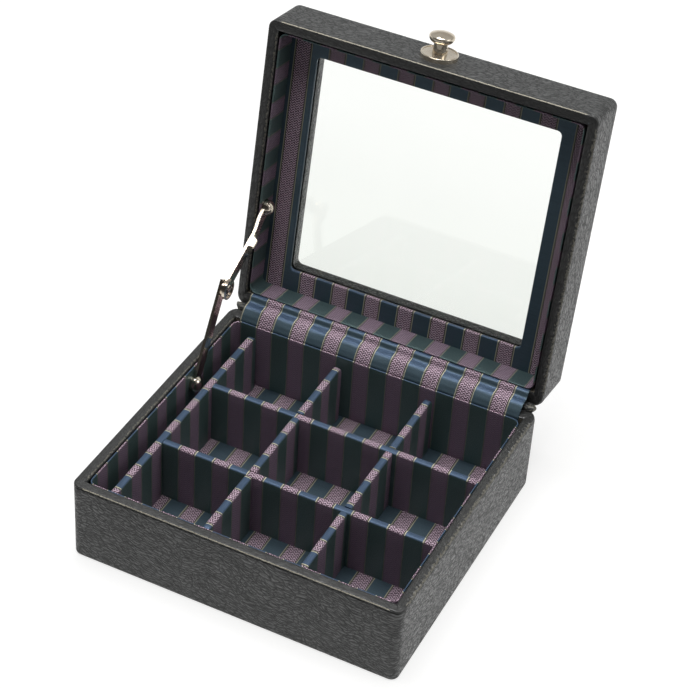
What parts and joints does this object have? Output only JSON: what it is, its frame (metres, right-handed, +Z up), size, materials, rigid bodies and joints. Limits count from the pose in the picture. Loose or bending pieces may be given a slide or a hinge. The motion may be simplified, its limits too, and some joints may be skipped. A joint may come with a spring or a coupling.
{
  "type": "cufflink display box",
  "caption": "Leather-covered cufflink box with a glazed lid on a flexible hinge and folding side stay, striped lining, divided tray and side channel.",
  "frame": {"origin": "centre of the box's underside", "axes": "+Z up, +Y towards the hinge at the back, +X to the right as seen from the front"},
  "size_m": [0.1662, 0.2078, 0.2048],
  "materials": {
    "black_leather": "fine pebble grain, satin",
    "board": "raw grey board",
    "striped_lining": "blue and mauve striped woven lining",
    "black_felt": "flocked felt",
    "clear_glass": "polished",
    "polished_nickel": "polished",
    "zinc_steel": "zinc plated"
  },
  "bodies": {
    "base": {"base_front_board": "board", "base_back_board": "board", "base_left_board": "board", "base_right_board": "board", "base_bottom_board": "board", "base_underside_felt": "black_felt", "base_side_leather": "black_leather", "base_rim_leather": "black_leather", "base_wall_lining": "striped_lining", "base_floor_lining": "striped_lining", "side_channel_partition": "striped_lining", "column_divider_1": "striped_lining", "column_divider_2": "striped_lining", "row_divider_1": "striped_lining", "row_divider_2": "striped_lining", "base_stay_pin": "polished_nickel", "base_stay_washer": "polished_nickel", "fabric_hinge_strip": "striped_lining", "leather_spine": "black_leather"},
    "lid": {"lid_front_board": "board", "lid_back_board": "board", "lid_left_board": "board", "lid_right_board": "board", "lid_window_board": "board", "lid_side_leather": "black_leather", "lid_top_leather": "black_leather", "lid_rim_leather": "black_leather", "glass_pane": "clear_glass", "glass_packing_frame": "board", "window_frame_lining": "striped_lining", "lid_wall_lining": "striped_lining", "lid_stay_pin": "polished_nickel", "lid_stay_washer": "polished_nickel", "knob": "polished_nickel", "knob_rosette": "polished_nickel", "knob_screw": "zinc_steel"},
    "stay_lower_arm": {"stay_lower_arm": "polished_nickel", "knee_rivet_back": "polished_nickel"},
    "stay_upper_arm": {"stay_upper_arm": "polished_nickel", "knee_rivet_front": "polished_nickel"}
  },
  "joints": [
    {"name": "lid_hinge", "type": "hinge", "parent": "base", "child": "lid", "pos_m": [0, 0.0784, 0.0421], "axis": [1, 0, 0], "range_deg": [0, 99.3], "deforming": ["fabric_hinge_strip", "leather_spine"]},
    {"name": "stay_lower_pivot", "type": "hinge", "parent": "base", "child": "stay_lower_arm", "pos_m": [-0.07525, 0.0245, 0.033], "axis": [1, 0, 0], "range_deg": [0, 116.44]},
    {"name": "stay_upper_pivot", "type": "hinge", "parent": "lid", "child": "stay_upper_arm", "pos_m": [-0.07515, 0.09416, 0.09566], "axis": [1, 0, 0], "range_deg": [-109.32, 0]}
  ],
  "couplings": [
    {"joint": "stay_lower_pivot", "follows": "lid_hinge", "ratio": 1.1716},
    {"joint": "stay_upper_pivot", "follows": "lid_hinge", "ratio": -1.0999}
  ]
}
